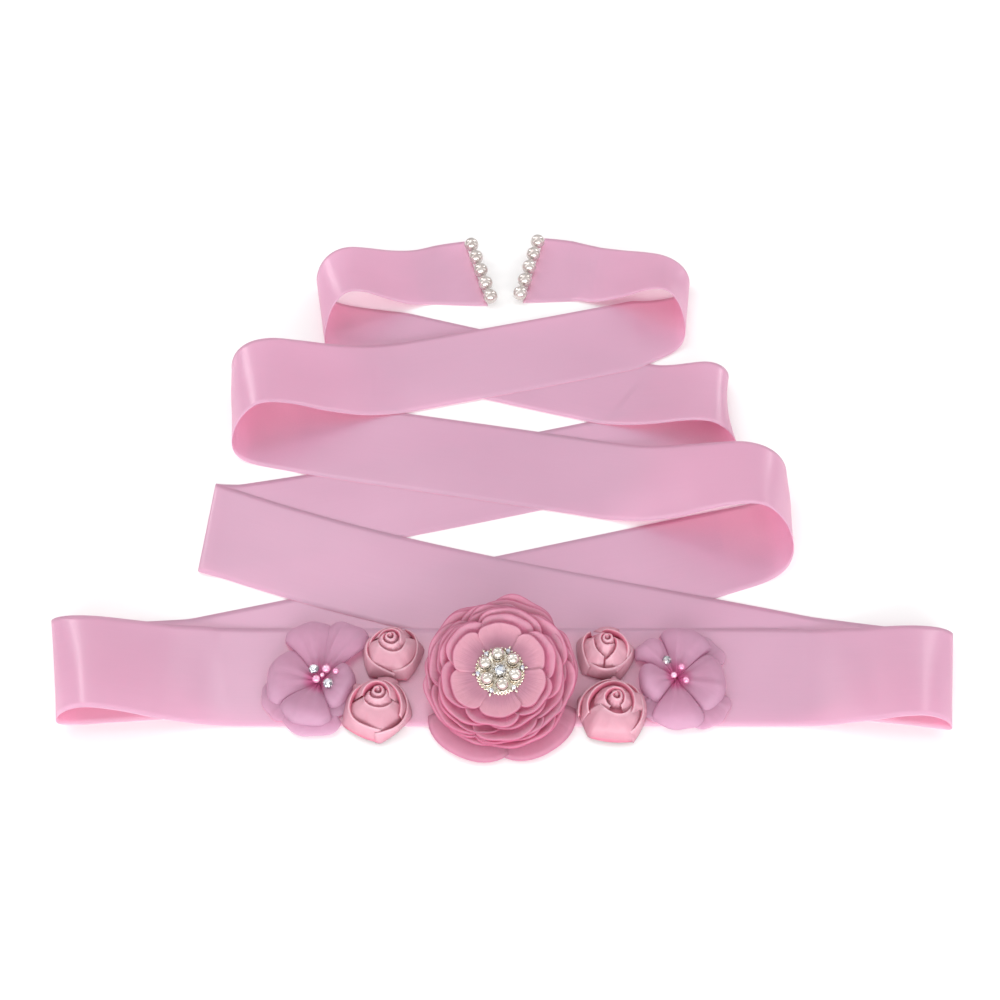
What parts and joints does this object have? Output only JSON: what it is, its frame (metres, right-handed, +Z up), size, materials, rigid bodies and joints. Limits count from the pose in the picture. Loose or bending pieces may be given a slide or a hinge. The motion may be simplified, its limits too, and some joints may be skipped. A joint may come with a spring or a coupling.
{
  "type": "bridal sash",
  "caption": "long satin ribbon laid out flat in a zigzag of soft loops, with cloth flowers, a pearl brooch and rolled roses on its front stretch and pearls along its cut ends",
  "frame": {"origin": "middle of the surface that the sash lies on, under the middle of its box", "axes": "+X along the front band to the viewer's right, +Y away from the viewer towards the cut ends, +Z up from the surface"},
  "size_m": [0.4718, 0.3862, 0.037],
  "materials": {
    "satin": "smooth satin ribbon with a soft sheen, dusty pink with a lilac cast",
    "petal_cloth": "matt taffeta petals, dusty pink with darker edges",
    "rolled_satin": "satin rolled into roses, peach pink",
    "chiffon": "sheer chiffon in puffed folds, mauve pink",
    "pearl": "ivory imitation pearl",
    "end_pearl": "white imitation pearl with a pink tint",
    "silver": "bright silver-coloured setting",
    "cut_glass": "clear cut stone"
  },
  "bodies": {
    "root": {"front_band": "satin", "left_tail_1": "satin", "left_tail_2": "satin", "left_tail_3": "satin", "left_tail_end": "satin", "right_tail_1": "satin", "right_tail_2": "satin", "right_tail_3": "satin", "right_tail_end": "satin", "front_left_loop": "satin", "front_right_loop": "satin", "right_loop_1": "satin", "left_fold": "satin", "left_loop_1": "satin", "right_loop_2": "satin", "left_loop_2": "satin", "right_loop_3": "satin", "backing_petals": "petal_cloth", "flower_layer_1": "petal_cloth", "flower_layer_2": "petal_cloth", "flower_layer_3": "petal_cloth", "flower_layer_4": "petal_cloth", "flower_layer_5": "petal_cloth", "flower_layer_6": "petal_cloth", "brooch_plate": "silver", "brooch_stone": "cut_glass", "brooch_pearl_1": "pearl", "brooch_pearl_2": "pearl", "brooch_pearl_3": "pearl", "brooch_pearl_4": "pearl", "brooch_pearl_5": "pearl", "brooch_pearl_6": "pearl", "left_upper_rosette": "rolled_satin", "left_lower_rosette": "rolled_satin", "right_upper_rosette": "rolled_satin", "right_lower_rosette": "rolled_satin", "left_chiffon_petal_1": "chiffon", "left_chiffon_petal_2": "chiffon", "left_chiffon_petal_3": "chiffon", "left_chiffon_petal_4": "chiffon", "left_chiffon_petal_5": "chiffon", "right_chiffon_petal_1": "chiffon", "right_chiffon_petal_2": "chiffon", "right_chiffon_petal_3": "chiffon", "right_chiffon_petal_4": "chiffon", "right_chiffon_petal_5": "chiffon", "left_tail_pearl_1": "end_pearl", "left_tail_pearl_2": "end_pearl", "left_tail_pearl_3": "end_pearl", "left_tail_pearl_4": "end_pearl", "left_tail_pearl_5": "end_pearl", "right_tail_pearl_1": "end_pearl", "right_tail_pearl_2": "end_pearl", "right_tail_pearl_3": "end_pearl", "right_tail_pearl_4": "end_pearl", "right_tail_pearl_5": "end_pearl"}
  },
  "joints": []
}
